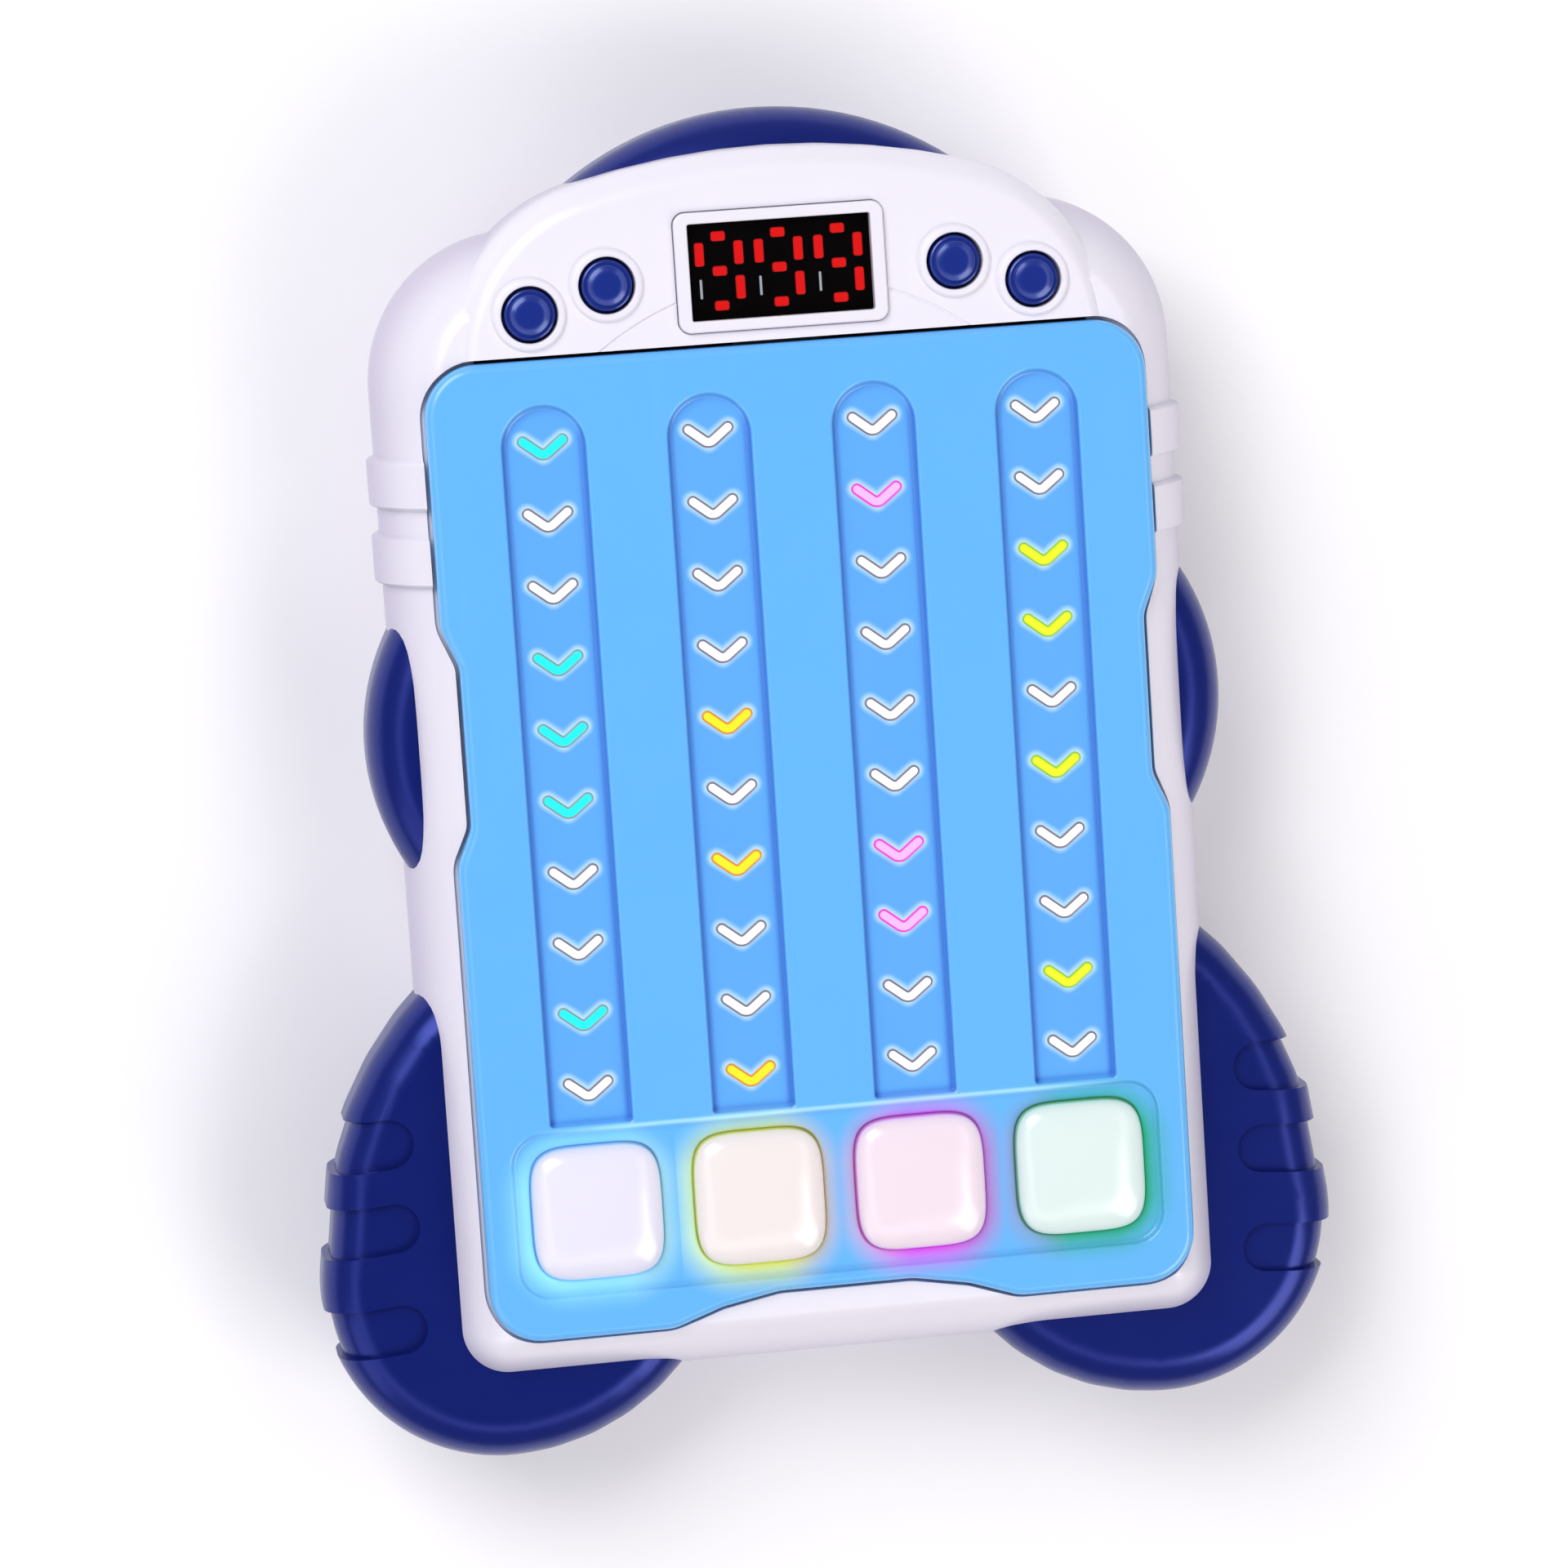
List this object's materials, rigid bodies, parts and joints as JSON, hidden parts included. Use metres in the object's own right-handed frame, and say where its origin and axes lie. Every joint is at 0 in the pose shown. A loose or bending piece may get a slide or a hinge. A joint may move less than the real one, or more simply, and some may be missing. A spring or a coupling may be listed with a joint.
{
  "type": "hand-held light rhythm game",
  "caption": "Flat hand-held finger rhythm toy: lanes of light-up arrows above large sprung keys, with small buttons, a digit display, side pads, feet and a battery bay.",
  "frame": {"origin": "centre of the overall outline, on the surface that the rubber feet stand on", "axes": "+Z out of the face, +Y towards the display end, +X to the right seen from the face"},
  "size_m": [0.1656, 0.2134, 0.0433],
  "materials": {
    "shell_white": "satin moulded white",
    "plate_blue": "satin moulded light blue",
    "window_tint": "smoked clear",
    "navy_plastic": "satin navy",
    "key_cap": "glossy milky translucent",
    "silicone": "matt silicone",
    "button_navy": "glossy navy",
    "light_guide": "milky, lit from below",
    "board_green": "solder mask",
    "ribbon_grey": "flat cable",
    "led_body": "clear resin",
    "chip_black": "moulded epoxy",
    "can_blue": "sleeved can",
    "display_black": "black face",
    "segment_red": "lit segments",
    "speaker_frame": "black stamped",
    "speaker_paper": "pressed cone",
    "magnet_steel": "plated",
    "screw_steel": "zinc plated",
    "lead_wire": "insulated wire",
    "cell_jacket": "plain green jacket",
    "contact_metal": "nickel plated",
    "foot_rubber": "matt"
  },
  "bodies": {
    "casing": {"front_housing": "shell_white", "rear_housing": "shell_white", "display_bezel": "shell_white", "face_plate": "plate_blue", "display_window": "window_tint", "crown": "navy_plastic", "side_pad_left": "navy_plastic", "side_pad_right": "navy_plastic", "foot_left": "navy_plastic", "foot_right": "navy_plastic", "key_dome_1": "silicone", "key_dome_2": "silicone", "key_dome_3": "silicone", "key_dome_4": "silicone", "button_dome_1": "silicone", "button_dome_2": "silicone", "button_dome_3": "silicone", "button_dome_4": "silicone", "lane_guide_1": "light_guide", "lane_guide_2": "light_guide", "lane_guide_3": "light_guide", "lane_guide_4": "light_guide", "main_board": "board_green", "display_board": "board_green", "board_ribbon": "ribbon_grey", "lane_leds": "led_body", "key_leds": "led_body", "control_chip": "chip_black", "capacitors": "can_blue", "display_module": "display_black", "display_segments": "segment_red", "speaker_basket": "speaker_frame", "speaker_cone": "speaker_paper", "speaker_magnet": "magnet_steel", "speaker_screws": "screw_steel", "housing_screws": "screw_steel", "board_screws": "screw_steel", "speaker_leads": "lead_wire", "battery_leads": "lead_wire", "cell_1": "cell_jacket", "cell_2": "cell_jacket", "cell_3": "cell_jacket", "contact_springs": "contact_metal", "contact_plates": "contact_metal", "rubber_feet": "foot_rubber"},
    "key_1": {"key_1": "key_cap"},
    "key_2": {"key_2": "key_cap"},
    "key_3": {"key_3": "key_cap"},
    "key_4": {"key_4": "key_cap"},
    "button_1": {"mode_button_1": "button_navy"},
    "button_2": {"mode_button_2": "button_navy"},
    "button_3": {"mode_button_3": "button_navy"},
    "button_4": {"mode_button_4": "button_navy"},
    "battery_door": {"battery_door": "shell_white"}
  },
  "joints": [
    {"name": "key_1_press", "type": "slide", "parent": "casing", "child": "key_1", "axis": [0, 0, -1], "range_m": [0, 0.0022], "stiffness_N_per_m": 300, "springref_m": -0.001, "deforming": ["key_dome_1"]},
    {"name": "key_2_press", "type": "slide", "parent": "casing", "child": "key_2", "axis": [0, 0, -1], "range_m": [0, 0.0022], "stiffness_N_per_m": 300, "springref_m": -0.001, "deforming": ["key_dome_2"]},
    {"name": "key_3_press", "type": "slide", "parent": "casing", "child": "key_3", "axis": [0, 0, -1], "range_m": [0, 0.0022], "stiffness_N_per_m": 300, "springref_m": -0.001, "deforming": ["key_dome_3"]},
    {"name": "key_4_press", "type": "slide", "parent": "casing", "child": "key_4", "axis": [0, 0, -1], "range_m": [0, 0.0022], "stiffness_N_per_m": 300, "springref_m": -0.001, "deforming": ["key_dome_4"]},
    {"name": "button_1_press", "type": "slide", "parent": "casing", "child": "button_1", "axis": [0, 0, -1], "range_m": [0, 0.0012], "stiffness_N_per_m": 400, "springref_m": -0.0008, "deforming": ["button_dome_1"]},
    {"name": "button_2_press", "type": "slide", "parent": "casing", "child": "button_2", "axis": [0, 0, -1], "range_m": [0, 0.0012], "stiffness_N_per_m": 400, "springref_m": -0.0008, "deforming": ["button_dome_2"]},
    {"name": "button_3_press", "type": "slide", "parent": "casing", "child": "button_3", "axis": [0, 0, -1], "range_m": [0, 0.0012], "stiffness_N_per_m": 400, "springref_m": -0.0008, "deforming": ["button_dome_3"]},
    {"name": "button_4_press", "type": "slide", "parent": "casing", "child": "button_4", "axis": [0, 0, -1], "range_m": [0, 0.0012], "stiffness_N_per_m": 400, "springref_m": -0.0008, "deforming": ["button_dome_4"]},
    {"name": "battery_door_slide", "type": "slide", "parent": "casing", "child": "battery_door", "axis": [0, -1, 0], "range_m": [0, 0.066]}
  ]
}
